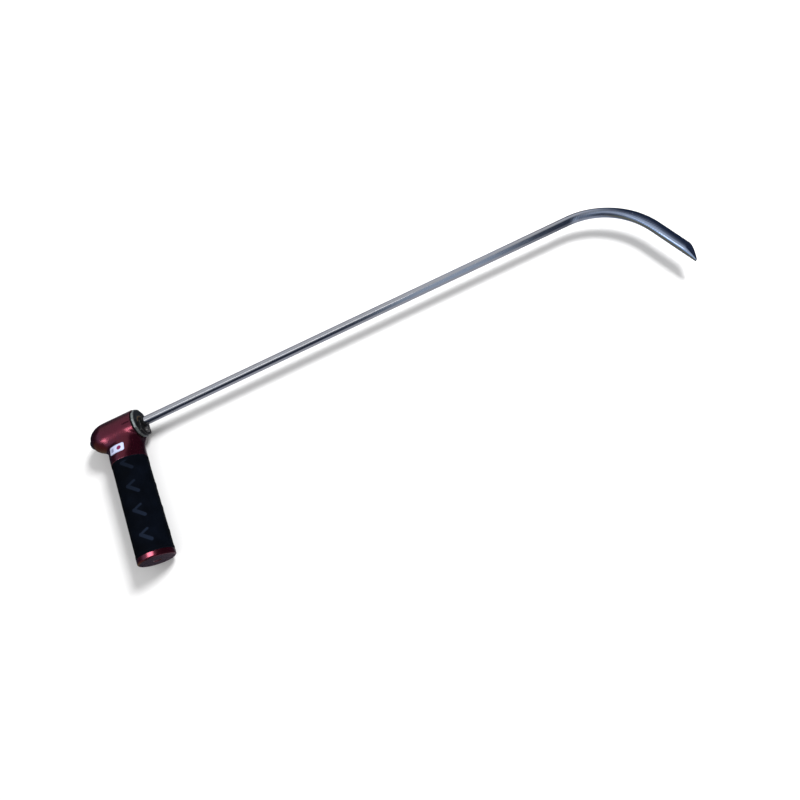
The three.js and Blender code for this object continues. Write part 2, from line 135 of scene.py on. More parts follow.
def rounded(points, radius, steps=4):
    """Rounds the corners of an open profile; points are (along, radius) or (along, radius, shape)."""
    made = [points[0]]
    for before, here, after in zip(points, points[1:], points[2:]):
        a = np.array(before[:2]) - here[:2]
        b = np.array(after[:2]) - here[:2]
        long_a, long_b = np.linalg.norm(a), np.linalg.norm(b)
        a, b = a / long_a, b / long_b
        half = math.acos(max(-1, min(1, float(a @ b)))) / 2
        if half > math.radians(82):
            made.append(here)
            continue
        back = min(radius / math.tan(half), 0.45 * long_a, 0.45 * long_b)
        start, end = here[:2] + a * back, here[:2] + b * back
        for i in range(steps + 1):
            t = i / steps
            bent = (1 - t) ** 2 * start + 2 * t * (1 - t) * np.array(here[:2]) + t ** 2 * end
            made.append((bent[0], bent[1], *here[2:]))
    made.append(points[-1])
    return made


def flats(count):
    """How far a regular polygon's side lies inside its corner circle, by angle."""
    part = 2 * math.pi / count

    def share(angle):
        off = (angle % part) - part / 2
        return math.cos(part / 2) / math.cos(off)
    return share


def lathe(profile, axis, segments=96, y=0.0, closed=False):
    """Turns a profile about the barrel's axis ("x") or the grip's ("y"). Gives vertices in metres, faces."""
    verts, rows = [], []
    for point in profile:
        along, radius = point[0], point[1]
        shape = point[2] if len(point) > 2 else None
        count = 1 if radius < 1e-6 else segments
        rows.append((len(verts), count))
        for i in range(count):
            angle = 2 * math.pi * i / segments
            r = radius * (shape(angle) if shape else 1)
            across, up = r * math.sin(angle), r * math.cos(angle)
            if axis == "x":
                verts.append((along * MM, (AXIS_Y + y + across) * MM, up * MM))
            else:
                verts.append((across * MM, along * MM, up * MM))
    faces = []
    pairs = list(zip(rows, rows[1:])) + ([(rows[-1], rows[0])] if closed else [])
    for (a, count_a), (b, count_b) in pairs:
        for i in range(segments):
            j = (i + 1) % segments
            if count_a == 1 and count_b == 1:
                continue
            if count_a == 1:
                faces.append((a, b + j, b + i))
            elif count_b == 1:
                faces.append((a + i, a + j, b))
            else:
                faces.append((a + i, a + j, b + j, b + i))
    return verts, faces


def store(mesh, name, values):
    """Keeps one number a vertex on a mesh, for its material to read."""
    layer = mesh.attributes.new(name, "FLOAT", "POINT")
    layer.data.foreach_set("value", np.asarray(values, dtype=np.float32))


def worn_edges(mesh):
    """1 where a surface bends outward within half a millimetre, 0 where it is flat, for wear along edges."""
    sharp = np.zeros(len(mesh.vertices))
    bm = bmesh.new()
    bm.from_mesh(mesh)
    centres = [f.calc_center_median() for f in bm.faces]
    for edge in bm.edges:
        if len(edge.link_faces) != 2:
            continue
        one, other = (centres[f.index] for f in edge.link_faces)
        middle = (edge.verts[0].co + edge.verts[1].co) / 2
        reach = (middle - one).length + (middle - other).length
        bend = edge.calc_face_angle_signed() / max(reach, 1e-6) * MM
        for v in edge.verts:
            sharp[v.index] = max(sharp[v.index], bend)
    bm.free()
    return smoothstep(0.35, 1.6, sharp)


def add_piece(name, verts, faces, material, body, stands_for=(), crisp=40):
    """Makes a piece, outward faces, smooth shading with crisp edges above an angle, riding on its body."""
    mesh = bpy.data.meshes.new(name)
    mesh.from_pydata(verts, [], faces)
    bm = bmesh.new()
    bm.from_mesh(mesh)
    bmesh.ops.recalc_face_normals(bm, faces=bm.faces)
    bm.to_mesh(mesh)
    bm.free()
    mesh.shade_smooth()
    mesh.set_sharp_from_angle(angle=math.radians(crisp))
    store(mesh, "wear", worn_edges(mesh))
    obj = bpy.data.objects.new(name, mesh)
    bpy.context.scene.collection.objects.link(obj)
    mesh.materials.append(material)
    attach(obj, body)
    if stands_for:
        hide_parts(*stands_for)
    return obj


def even_normals(obj):
    """Large faces keep flat shading beside small rounded edges."""
    obj.modifiers.new("normals", "WEIGHTED_NORMAL").keep_sharp = True


# ---------------------------------------------------------------- material helpers


class Look:
    """A node material on a Principled shader, with short calls for the parts used over and over."""

    def __init__(self, name, **sockets):
        self.material = bpy.data.materials.new(name)
        self.material.use_nodes = True
        self.tree = self.material.node_tree
        self.shader = self.tree.nodes["Principled BSDF"]
        for socket, value in sockets.items():
            self.shader.inputs[socket.replace("_", " ")].default_value = value

    def node(self, kind, **settings):
        made = self.tree.nodes.new(kind)
        for key, value in settings.items():
            setattr(made, key, value)
        return made

    def link(self, source, target):
        self.tree.links.new(source, target)

    def feed(self, socket, value):
        """Sets a socket from a number, a colour or another socket."""
        if isinstance(value, bpy.types.NodeSocket):
            self.link(value, socket)
        else:
            socket.default_value = value

    def place(self, stretch=(1, 1, 1)):
        """Position on the object in millimetres, squeezed by stretch."""
        coordinates = self.node("ShaderNodeTexCoord")
        scaled = self.node("ShaderNodeVectorMath", operation="MULTIPLY")
        self.link(coordinates.outputs["Object"], scaled.inputs[0])
        scaled.inputs[1].default_value = [s / MM for s in stretch]
        return scaled.outputs[0]

    def stored(self, name):
        return self.node("ShaderNodeAttribute", attribute_name=name).outputs["Fac"]

    def math(self, operation, a, b=0.0, clamp=False):
        made = self.node("ShaderNodeMath", operation=operation, use_clamp=clamp)
        self.feed(made.inputs[0], a)
        self.feed(made.inputs[1], b)
        return made.outputs[0]

    def noise(self, scale, detail=3.0, stretch=(1, 1, 1), at=None):
        """Noise with scale in cycles a millimetre."""
        made = self.node("ShaderNodeTexNoise")
        self.link(at or self.place(stretch), made.inputs["Vector"])
        made.inputs["Scale"].default_value = scale
        made.inputs["Detail"].default_value = detail
        return made.outputs["Fac"]

    def cells(self, scale, at=None):
        made = self.node("ShaderNodeTexVoronoi", feature="F1")
        self.link(at or self.place(), made.inputs["Vector"])
        made.inputs["Scale"].default_value = scale
        return made.outputs["Distance"]

    def spread(self, value, low, high, to_low=0.0, to_high=1.0):
        """Maps low..high to to_low..to_high, held at both ends."""
        made = self.node("ShaderNodeMapRange", clamp=True)
        for socket, number in zip(made.inputs, (value, low, high, to_low, to_high)):
            self.feed(socket, number)
        return made.outputs[0]

    def mix(self, share, first, second):
        made = self.node("ShaderNodeMix", data_type="RGBA")
        self.feed(made.inputs[0], share)
        self.feed(made.inputs[6], (*first, 1) if isinstance(first, tuple) else first)
        self.feed(made.inputs[7], (*second, 1) if isinstance(second, tuple) else second)
        return made.outputs[2]

    def bump(self, height, depth, under=None):
        """A bump of the given depth in millimetres."""
        made = self.node("ShaderNodeBump")
        made.inputs["Distance"].default_value = depth * MM
        self.link(height, made.inputs["Height"])
        if under:
            self.link(under, made.inputs["Normal"])
        return made.outputs["Normal"]

    def around_barrel(self):
        """Distance from the barrel's axis, in millimetres, for turned grain on faces across it."""
        parts = self.node("ShaderNodeSeparateXYZ")
        self.link(self.place(), parts.inputs[0])
        y = self.math("SUBTRACT", parts.outputs["Y"], AXIS_Y)
        square = self.math("ADD", self.math("MULTIPLY", y, y),
                           self.math("MULTIPLY", parts.outputs["Z"], parts.outputs["Z"]))
        return self.math("SQRT", square)

    def finish(self, colour=None, roughness=None, normal=None):
        for socket, value in (("Base Color", colour), ("Roughness", roughness), ("Normal", normal)):
            if value is not None:
                self.link(value, self.shader.inputs[socket])
        return self.material


def scratches(look, scale, width, stretch):
    """Thin, sparse lines: the places where a stretched noise passes through its middle."""
    fine = look.noise(scale, 1.0, stretch)
    line = look.spread(look.math("ABSOLUTE", look.math("SUBTRACT", fine, 0.5)), 0, width, 1, 0)
    patches = look.spread(look.noise(0.12, 1.0), 0.5, 0.62)
    return look.math("MULTIPLY", line, patches)


def red_anodised(name, grain):
    """Dark red satin anodising over a turned and blasted surface."""
    look = Look(name, Metallic=0.95, Coat_Weight=0.6, Coat_Roughness=0.26)
    turned = look.noise(2.2, 3.0, grain)
    cloud = look.noise(0.09, 3.0)
    speck = look.noise(4.5, 2.0)
    tone = look.mix(look.spread(cloud, 0.3, 0.7), RED_DEEP, RED_FULL)
    tone = look.mix(look.spread(turned, 0.3, 0.7, 0.0, 0.35), tone, RED_SHADE)
    edge = look.math("MULTIPLY", look.stored("wear"), look.spread(look.noise(0.8, 4.0), 0.38, 0.62))
    tone = look.mix(look.math("MULTIPLY", edge, 0.75), tone, RED_WORN)
    nick = look.spread(look.math("ADD", speck, look.math("MULTIPLY", look.stored("wear"), 0.08)), 0.73, 0.78)
    tone = look.mix(look.math("MULTIPLY", nick, 0.5), tone, RED_WORN)
    lines = scratches(look, 0.9, 0.006, (0.5, 1.6, 1.0))
    rough = look.spread(look.math("ADD", turned, look.math("MULTIPLY", cloud, 0.5)), 0.5, 1.0, 0.24, 0.32)
    rough = look.math("ADD", rough, look.math("MULTIPLY", lines, 0.12))
    fine = look.bump(turned, 0.0014)
    marks = look.bump(look.math("SUBTRACT", 1.0, lines), 0.003, fine)
    return look.finish(tone, rough, look.bump(speck, 0.0008, marks))


def polished_rod():
    """Chromed steel: long polishing lines, small scratches, and cross marks where the bend was worked."""
    look = Look("polished_steel", Metallic=1.0)
    along, round_it, worked = look.stored("along"), look.stored("round"), look.stored("worked")
    at = look.node("ShaderNodeCombineXYZ")
    look.link(look.math("MULTIPLY", along, 0.05), at.inputs["X"])
    look.link(look.math("MULTIPLY", round_it, 2.0), at.inputs["Y"])
    draw = look.noise(1.6, 3.0, at=at.outputs[0])
    cloud = look.noise(0.05, 3.0)
    tone = look.mix(look.spread(draw, 0.3, 0.7), STEEL_SHADE, STEEL_BRIGHT)
    tone = look.mix(look.spread(cloud, 0.45, 0.75, 0.0, 0.35), tone, STEEL_BLUE)
    # painted reflection: the steel is tinted blue through the bend and into the tip, standing in for blue
    # reflected there
    painted_bend_blue = look.spread(along, ROD_STRAIGHT, ROD_STRAIGHT + BEND_RADIUS, 0.0, 0.85)
    tone = look.mix(painted_bend_blue, tone, STEEL_PAINTED_BLUE)
    slant = look.math("ADD", look.math("MULTIPLY", along, 1.0), look.math("MULTIPLY", round_it, 0.9))
    hatch = look.math("MULTIPLY", look.math("SINE", look.math("MULTIPLY", slant, 2.6)), worked)
    lines = scratches(look, 0.5, 0.004, (0.6, 2.4, 2.4))
    rough = look.spread(draw, 0.25, 0.75, 0.07, 0.16)
    rough = look.math("ADD", rough, look.math("MULTIPLY", look.math("ABSOLUTE", hatch), 0.1))
    rough = look.math("ADD", rough, look.math("MULTIPLY", lines, 0.2))
    base = look.bump(draw, 0.003)
    cross = look.bump(hatch, 0.035, base)
    return look.finish(tone, rough, look.bump(look.math("SUBTRACT", 1.0, lines), 0.006, cross))


def machined(name, shade, bright, rough_low, rough_high, worn=None, dark_face=None):
    """Turned metal: fine rings about the barrel's axis, uneven tone and brighter worn edges."""
    look = Look(name, Metallic=0.85)
    radius = look.around_barrel()
    rings = look.noise(2.4, 2.0, at=radius_vector(look, radius))
    cloud = look.noise(0.35, 4.0)
    tone = look.mix(look.spread(rings, 0.3, 0.7), shade, bright)
    if dark_face:
        tone = look.mix(look.stored("face"), tone, dark_face)
    tone = look.mix(look.spread(cloud, 0.5, 0.8, 0.0, 0.4), tone, shade)
    if worn:
        chip = look.spread(look.noise(1.3, 4.0), 0.35, 0.6)
        tone = look.mix(look.math("MULTIPLY", look.stored("wear"), chip), tone, worn)
    rough = look.spread(look.math("ADD", rings, cloud), 0.7, 1.3, rough_low, rough_high)
    return look.finish(tone, rough, look.bump(rings, 0.008, look.bump(look.noise(3.0, 3.0), 0.006)))


def radius_vector(look, radius):
    made = look.node("ShaderNodeCombineXYZ")
    look.link(radius, made.inputs["X"])
    return made.outputs[0]


def grip_rubber():
    """Moulded black rubber: pebbled ground, smoother raised marks painted lighter as a highlight on them,
    dust in the hollows, polished edges.
    """
    look = Look("grip_rubber", Specular_IOR_Level=0.05)
    mark_and_sheen = look.stored("mark_and_sheen")
    pebble = look.cells(2.1)
    fine = look.noise(5.0, 3.0)
    cloud = look.noise(0.06, 4.0)
    ground = look.mix(look.spread(cloud, 0.35, 0.7), RUBBER_DEEP, RUBBER_BLUE)
    # painted highlight: the raised chevrons get a lighter colour in place of the sheen that light puts on
    # them
    tone = look.mix(look.math("MULTIPLY", mark_and_sheen, 0.9), ground, RUBBER_WEAR_AND_SHEEN)
    tone = look.mix(look.math("MULTIPLY", look.stored("wear"), 0.35), tone, RUBBER_WEAR_AND_SHEEN)
    dust = look.spread(look.math("ADD", look.noise(1.2, 4.0), look.math("MULTIPLY", cloud, 0.3)), 0.74, 0.9)
    tone = look.mix(look.math("MULTIPLY", dust, 0.25), tone, RUBBER_DUST)
    plain = look.math("SUBTRACT", 1.0, mark_and_sheen)
    height = look.math("MULTIPLY", look.spread(pebble, 0.0, 0.7, 1.0, 0.0), plain)
    rough = look.spread(look.math("ADD", fine, look.math("MULTIPLY", plain, 0.6)), 0.4, 1.2, 0.42, 0.66)
    return look.finish(tone, rough, look.bump(height, 0.05, look.bump(fine, 0.008)))


def seal_rubber():
    look = Look("black_seal", Specular_IOR_Level=0.35)
    grain = look.noise(1.4, 4.0)
    tone = look.mix(grain, (0.006, 0.006, 0.007), (0.016, 0.016, 0.018))
    return look.finish(tone, look.spread(grain, 0.3, 0.7, 0.42, 0.6), look.bump(grain, 0.02))


def label_print():
    """A plain printed patch: pale ground, a thin border, one round dot and a short bar. No lettering."""
    look = Look("label_print", Specular_IOR_Level=0.4)
    u, v = look.stored("u"), look.stored("v")
    off = look.math("SUBTRACT", u, LABEL_DOT_AT)
    away = look.math("SQRT", look.math("ADD", look.math("MULTIPLY", off, off), look.math("MULTIPLY", v, v)))
    dot = look.spread(away, LABEL_DOT, LABEL_DOT + 0.25, 1, 0)
    bar_u = look.spread(look.math("ABSOLUTE", look.math("SUBTRACT", u, LABEL_BAR_AT)), 1.4, 1.7, 1, 0)
    bar_v = look.spread(look.math("ABSOLUTE", v), 2.0, 2.3, 1, 0)
    bar = look.math("MULTIPLY", bar_u, bar_v)
    rim = look.stored("rim")
    scuff = look.spread(look.noise(1.1, 5.0), 0.55, 0.75, 0.0, 0.35)
    tone = look.mix(scuff, (0.50, 0.55, 0.76), (0.34, 0.36, 0.54))
    tone = look.mix(look.math("MULTIPLY", rim, 0.55), tone, (0.20, 0.16, 0.34))
    tone = look.mix(dot, tone, (0.17, 0.012, 0.07))
    tone = look.mix(look.math("MULTIPLY", bar, 0.7), tone, (0.13, 0.13, 0.24))
    rough = look.spread(scuff, 0, 0.35, 0.32, 0.5)
    return look.finish(tone, rough, look.bump(look.noise(3.0, 3.0), 0.008))


RED_DEEP = (0.125, 0.0060, 0.022)
RED_FULL = (0.160, 0.0095, 0.033)
RED_SHADE = (0.095, 0.004, 0.015)
RED_WORN = (0.46, 0.16, 0.22)
STEEL_BRIGHT = (0.72, 0.73, 0.76)
STEEL_SHADE = (0.56, 0.57, 0.60)
STEEL_BLUE = (0.50, 0.55, 0.66)
# blue painted into the steel through the bend as a reflection tint
STEEL_PAINTED_BLUE = (0.47, 0.58, 0.80)
RUBBER_DEEP = (0.0010, 0.0015, 0.0028)
RUBBER_BLUE = (0.0015, 0.0027, 0.0060)
# lighter colour painted on the raised chevrons as their highlight; also the colour of worn edges
RUBBER_WEAR_AND_SHEEN = (0.0085, 0.0135, 0.026)
RUBBER_DUST = (0.007, 0.008, 0.011)
LABEL_DOT_AT = 3.1
LABEL_DOT = 2.2
LABEL_BAR_AT = -4.6

RED_BARREL = red_anodised("red_anodised", (1.0, 0.15, 0.15))
RED_CAP = red_anodised("red_anodised_cap", (0.15, 1.0, 0.15))
ROD_STEEL = polished_rod()
GREY_STEEL = machined("grey_steel", (0.24, 0.26, 0.25), (0.44, 0.48, 0.46), 0.24, 0.4, (0.62, 0.64, 0.62),
                      (0.035, 0.038, 0.045))
BLACK_STEEL = machined("black_steel", (0.022, 0.022, 0.024), (0.05, 0.05, 0.052), 0.3, 0.48,
                       (0.26, 0.24, 0.23))
SCREW_STEEL = machined("screw_steel", (0.16, 0.15, 0.15), (0.34, 0.32, 0.32), 0.25, 0.42, (0.5, 0.48, 0.47))
SPRING_STEEL = machined("spring_steel", (0.14, 0.145, 0.155), (0.26, 0.27, 0.28), 0.22, 0.36)
BRONZE = machined("bronze", (0.18, 0.105, 0.055), (0.30, 0.19, 0.10), 0.28, 0.42, (0.5, 0.36, 0.22))
ALUMINIUM = machined("bare_aluminium", (0.42, 0.43, 0.44), (0.58, 0.59, 0.6), 0.3, 0.46)
RUBBER = grip_rubber()
SEAL = seal_rubber()
LABEL = label_print()

# ---------------------------------------------------------------- head housing


def round_max(a, b, radius):
    """Two surfaces cut against each other with a rounded edge."""
    u = np.maximum(radius + a, 0)
    v = np.maximum(radius + b, 0)
    return np.minimum(-radius, np.maximum(a, b)) + np.hypot(u, v)


def round_min(a, b, radius):
    """Two surfaces joined with a fillet."""
    u = np.maximum(radius - a, 0)
    v = np.maximum(radius - b, 0)
    return np.maximum(radius, np.minimum(a, b)) - np.hypot(u, v)


def oval(along, half_along, across, half_across):
    """Close to the distance from an ellipse, below zero inside it."""
    near = np.hypot(along / half_along, across / half_across)
    steep = np.hypot(along / half_along ** 2, across / half_across ** 2)
    return near * (near - 1) / np.maximum(steep, 1e-9)


def housing_distance(p, edge=0.45):
    """Distance from the housing's surface, in mm in the barrel's frame."""
    x, y, z = p.T
    off_axis = np.hypot(y, z)
    barrel = oval(np.minimum(x - DOME_START, 0), DOME_LENGTH, off_axis, BARREL_RADIUS)
    barrel = round_max(barrel, BARREL_REAR - x, 1.0)
    share = smoothstep(BARREL_RADIUS * 0.37, -NECK_BOTTOM * 0.9, -y)
    thick = BARREL_RADIUS * NECK_WAIST * (1 - share) + GRIP_RADIUS * share
    neck = np.maximum(oval(x, GRIP_RADIUS, z, thick), y)
    facing = (x / GRIP_RADIUS) / np.maximum(np.hypot(x / GRIP_RADIUS, z / thick), 1e-6)
    longer = 1 + (NECK_FRONT_FILLET / NECK_FILLET - 1) * smoothstep(0, 0.8, facing)
    body = round_min(barrel / longer, neck, NECK_FILLET * (0.45 + 0.55 * np.abs(facing)))
    body = round_max(body, x - BARREL_FRONT, edge)
    body = round_max(body, NECK_BOTTOM - y, edge)
    bore = np.maximum(off_axis - BARREL_BORE, BORE_REAR - x)
    button = np.maximum(off_axis - BUTTON_HOLE, x - BORE_REAR - 1)
    seat = np.maximum(np.hypot(x, z) - CORE_SEAT, y - CORE_TOP)
    for hole in (bore, button, seat):
        body = round_max(body, -hole, edge)
    return body


def slope(distance, p, step=0.02):
    """Which way a distance grows fastest, and how fast."""
    columns = []
    for axis in range(3):
        shift = np.zeros(3)
        shift[axis] = step
        columns.append((distance(p + shift) - distance(p - shift)) / (2 * step))
    return np.stack(columns, axis=1)


def settle(distance, p, rounds=10, longest=0.3):
    """Moves points onto the surface where the distance is zero, in short steps."""
    for _ in range(rounds):
        grows = slope(distance, p)
        size = np.maximum((grows ** 2).sum(axis=1), 0.05)
        step = 0.9 * grows * (distance(p) / size)[:, None]
        length = np.linalg.norm(step, axis=1)
        p = p - step * np.minimum(1, longest / np.maximum(length, 1e-9))[:, None]
    return p


def close_seam(points, faces, reach=0.2):
    """Takes out faces ahead of the grip whose middles lie off the surface, and fills the holes.
    Some folded faces stay, in the barrel's wall near its front."""
    middles = points[np.array(faces)].mean(axis=1)
    astray = (np.abs(housing_distance(middles)) > reach) & (middles[:, 0] > 0)
    bm = bmesh.new()
    corners = [bm.verts.new(p) for p in points]
    bm.verts.ensure_lookup_table()
    for face, off in zip(faces, astray):
        if not off:
            bm.faces.new([corners[i] for i in face])
    bmesh.ops.delete(bm, geom=[v for v in bm.verts if not v.link_faces], context="VERTS")
    bmesh.ops.holes_fill(bm, edges=[e for e in bm.edges if e.is_boundary], sides=0)
    bmesh.ops.triangulate(bm, faces=[f for f in bm.faces if len(f.verts) > 4])
    bmesh.ops.recalc_face_normals(bm, faces=bm.faces)
    bm.verts.index_update()
    points = np.array([v.co[:] for v in bm.verts])
    faces = [tuple(v.index for v in f.verts) for f in bm.faces]
    bm.free()
    return points, faces


def head_housing(voxel=0.42):
    """The frame's housing, remeshed finely and drawn onto its smooth shape with one flowing fillet."""
    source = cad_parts["head_housing"]
    rough = bpy.data.objects.new("rough", source.data.copy())
    bpy.context.scene.collection.objects.link(rough)
    remesh = rough.modifiers.new("fine", "REMESH")
    remesh.mode = "VOXEL"
    remesh.voxel_size = voxel * MM
    graph = bpy.context.evaluated_depsgraph_get()
    mesh = bpy.data.meshes.new_from_object(rough.evaluated_get(graph))
    bpy.data.objects.remove(rough)
    points = np.empty(len(mesh.vertices) * 3)
    mesh.vertices.foreach_get("co", points)
    points = points.reshape(-1, 3) / MM - (0, AXIS_Y, 0)
    faces = [tuple(f.vertices) for f in mesh.polygons]
    points, faces = close_seam(settle(housing_distance, points), faces)
    world = (points + (0, AXIS_Y, 0)) * MM
    obj = add_piece("housing_body", world.tolist(), faces, RED_BARREL, "handle",
                    ["head_housing"], crisp=180)
    normals = slope(housing_distance, points)
    normals /= np.linalg.norm(normals, axis=1)[:, None]
    bend = np.zeros(len(points))
    near = 0.25
    for axis in range(3):
        shift = np.zeros(3)
        shift[axis] = near
        ahead = slope(housing_distance, points + shift)[:, axis]
        behind = slope(housing_distance, points - shift)[:, axis]
        bend += (ahead - behind) / (2 * near)
    obj.data.attributes.remove(obj.data.attributes["wear"])
    store(obj.data, "wear", smoothstep(0.5, 1.8, bend))
    obj.data.normals_split_custom_set_from_vertices(normals.tolist())
    return obj


LABEL_X, LABEL_Y = -2.0, -22.0
LABEL_LONG, LABEL_TALL = 17.0, 9.5
LABEL_CORNER = 2.2


def label_patch(step=0.25):
    """A thin printed patch that lies on the neck's curved side."""
    columns, rows = int(LABEL_LONG / step), int(LABEL_TALL / step)
    u = np.linspace(-LABEL_LONG / 2, LABEL_LONG / 2, columns + 1)
    v = np.linspace(-LABEL_TALL / 2, LABEL_TALL / 2, rows + 1)
    grid_u, grid_v = [g.ravel() for g in np.meshgrid(u, v)]
    pull_u = np.maximum(np.abs(grid_u) - (LABEL_LONG / 2 - LABEL_CORNER), 0)
    pull_v = np.maximum(np.abs(grid_v) - (LABEL_TALL / 2 - LABEL_CORNER), 0)
    longest = np.maximum(pull_u, pull_v)
    shrink = np.where(longest > 0, longest / np.maximum(np.hypot(pull_u, pull_v), 1e-9), 1)
    grid_u = np.sign(grid_u) * (np.abs(grid_u) - pull_u * (1 - shrink))
    grid_v = np.sign(grid_v) * (np.abs(grid_v) - pull_v * (1 - shrink))
    x, y = LABEL_X + grid_u, LABEL_Y + grid_v
    z = np.full_like(x, BARREL_RADIUS)
    for _ in range(30):
        z = z - 0.8 * housing_distance(np.stack([x, y, z], axis=1))
    skin = np.stack([x, y, z], axis=1)
    out = slope(housing_distance, skin)
    out /= np.linalg.norm(out, axis=1)[:, None]
    to_edge = np.minimum(LABEL_LONG / 2 - np.abs(grid_u), LABEL_TALL / 2 - np.abs(grid_v))
    lift = 0.10 * smoothstep(0, 0.3, to_edge) - 0.02
    top = skin + out * lift[:, None]
    under = skin - out * 0.2
    count = len(top)
    width = columns + 1
    cells = [(r * width + c, r * width + c + 1, (r + 1) * width + c + 1, (r + 1) * width + c)
             for r in range(rows) for c in range(columns)]
    loop = list(range(width)) + [r * width + columns for r in range(1, rows + 1)]
    loop += [rows * width + c for c in range(columns - 1, -1, -1)]
    loop += [r * width for r in range(rows - 1, 0, -1)]
    sides = [(a, b, b + count, a + count) for a, b in zip(loop, loop[1:] + loop[:1])]
    faces = cells + [tuple(i + count for i in reversed(c)) for c in cells] + sides
    points = (np.concatenate([top, under]) + (0, AXIS_Y, 0)) * MM
    obj = add_piece("label_patch", points.tolist(), faces, LABEL, "handle", crisp=180)
    store(obj.data, "u", np.tile(grid_u, 2))
    store(obj.data, "v", np.tile(grid_v, 2))
    store(obj.data, "rim", np.tile(smoothstep(0.35, 0.5, to_edge) * (1 - smoothstep(0.7, 0.85, to_edge)), 2))
    return obj


# ---------------------------------------------------------------- front of the head


def front_gasket():
    low, high = span("front_gasket", X)
    outer = span("front_gasket", Z)[1]
    profile = rounded([(low, BARREL_BORE), (low, outer), (high, outer), (high, BARREL_BORE)], 0.3)
    verts, faces = lathe(profile, "x", closed=True)
    return add_piece("gasket", verts, faces, SEAL, "handle", ["front_gasket"])


def front_plate():
    twelve = flats(12)
    back = span("front_gasket", X)[1] + 0.05
    bore = 7.72
    spigot = BARREL_BORE - 0.15
    profile = rounded([
        (PLATE_BACK_OF_SPIGOT, bore), (PLATE_BACK_OF_SPIGOT, spigot), (back, spigot),
        (back, PLATE_RADIUS, twelve), (PLATE_FRONT - 0.55, PLATE_RADIUS, twelve),
        (PLATE_FRONT, PLATE_RADIUS - 0.9, twelve),
        (PLATE_FRONT, bore + 2.4), (PLATE_FRONT - 0.15, bore + 2.1), (PLATE_FRONT - 0.15, bore + 0.4),
        (PLATE_FRONT - 0.3, bore), (PLATE_BACK_OF_SPIGOT, bore),
    ], 0.14, 3)
    verts, faces = lathe(profile, "x", 144)
    obj = add_piece("face_plate", verts, faces, GREY_STEEL, "handle", ["front_plate"], crisp=28)
    points = np.array(verts) / MM - (0, AXIS_Y, 0)
    off_axis = np.hypot(points[:, 1], points[:, 2])
    on_face = (points[:, 0] > PLATE_FRONT - 0.4) & (off_axis < (PLATE_RADIUS - 0.9) * 1.001)
    store(obj.data, "face", on_face.astype(float))
    even_normals(obj)
    return obj


def front_bushing():
    profile = rounded([
        (BUSHING_REAR, 6.44), (BUSHING_REAR, 9.39), (BUSHING_REAR + 1.2, 9.39), (BUSHING_REAR + 1.2, 7.69),
        (BUSHING_FRONT - 0.3, 7.69), (BUSHING_FRONT, 7.4), (BUSHING_FRONT, 6.8), (BUSHING_FRONT - 0.3, 6.44),
    ], 0.15, 3)
    verts, faces = lathe(profile, "x", closed=True)
    obj = add_piece("bushing", verts, faces, BRONZE, "handle", ["front_bushing"], crisp=30)
    even_normals(obj)
    return obj


def rod_hub():
    boss, body, groove, bore = 6.38, 7.38, 5.48, ROD_RADIUS + 0.03
    cone_small, cone_large, cone_front = 8.18, 9.78, HUB_REAR + 7
    shoulder = HUB_REAR + 26
    groove_back, groove_front = KEEPER_BACK - 0.11, KEEPER_FRONT + 0.11
    profile = rounded([
        (HUB_REAR, 0), (HUB_REAR, cone_large), (cone_front, cone_small), (cone_front, body), (shoulder, body),
        (shoulder, boss), (groove_back, boss), (groove_back, groove), (groove_front, groove),
        (groove_front, boss), (HUB_FRONT - 0.45, boss), (HUB_FRONT, boss - 0.5), (HUB_FRONT, bore + 0.35),
        (HUB_FRONT - 0.35, bore), (HUB_REAR + 1.8, bore), (HUB_REAR + 1.8, 0),
    ], 0.16, 3)
    verts, faces = lathe(profile, "x", 72)
    obj = add_piece("hub", verts, faces, BLACK_STEEL, "rod", ["rod_hub"], crisp=30)
    even_normals(obj)
    return obj


def keeper_plate():
    """A half-ring plate, extruded from its outline and bevelled."""
    inner, top = 5.54, -1.0
    outer = -(span("keeper_plate", Y)[0] - AXIS_Y)
    half = span("keeper_plate", Z)[1]
    start = math.asin(-top / inner)
    outline = [(inner * math.cos(a), -inner * math.sin(a))
               for a in np.linspace(start, math.pi - start, 25)]
    low = math.acos(half / outer)
    outline.append((-half, top))
    outline += [(-outer * math.cos(a), -outer * math.sin(a)) for a in np.linspace(low, math.pi - low, 33)]
    outline.append((half, top))
    bm = bmesh.new()
    ring = [bm.verts.new((KEEPER_BACK * MM, (AXIS_Y + y) * MM, z * MM)) for z, y in outline]
    face = bm.faces.new(ring)
    grown = bmesh.ops.extrude_face_region(bm, geom=[face])
    moved = [g for g in grown["geom"] if isinstance(g, bmesh.types.BMVert)]
    bmesh.ops.translate(bm, verts=moved, vec=((KEEPER_FRONT - KEEPER_BACK) * MM, 0, 0))
    bmesh.ops.recalc_face_normals(bm, faces=bm.faces)
    sharp = [e for e in bm.edges if e.calc_face_angle(0) > math.radians(30)]
    bmesh.ops.bevel(bm, geom=sharp, offset=0.32 * MM, segments=3, profile=0.5, affect="EDGES")
    verts = [tuple(v.co) for v in bm.verts]
    bm.verts.index_update()
    faces = [tuple(v.index for v in f.verts) for f in bm.faces]
    bm.free()
    obj = add_piece("keeper", verts, faces, BLACK_STEEL, "handle", ["keeper_plate"], crisp=40)
    even_normals(obj)
    return obj


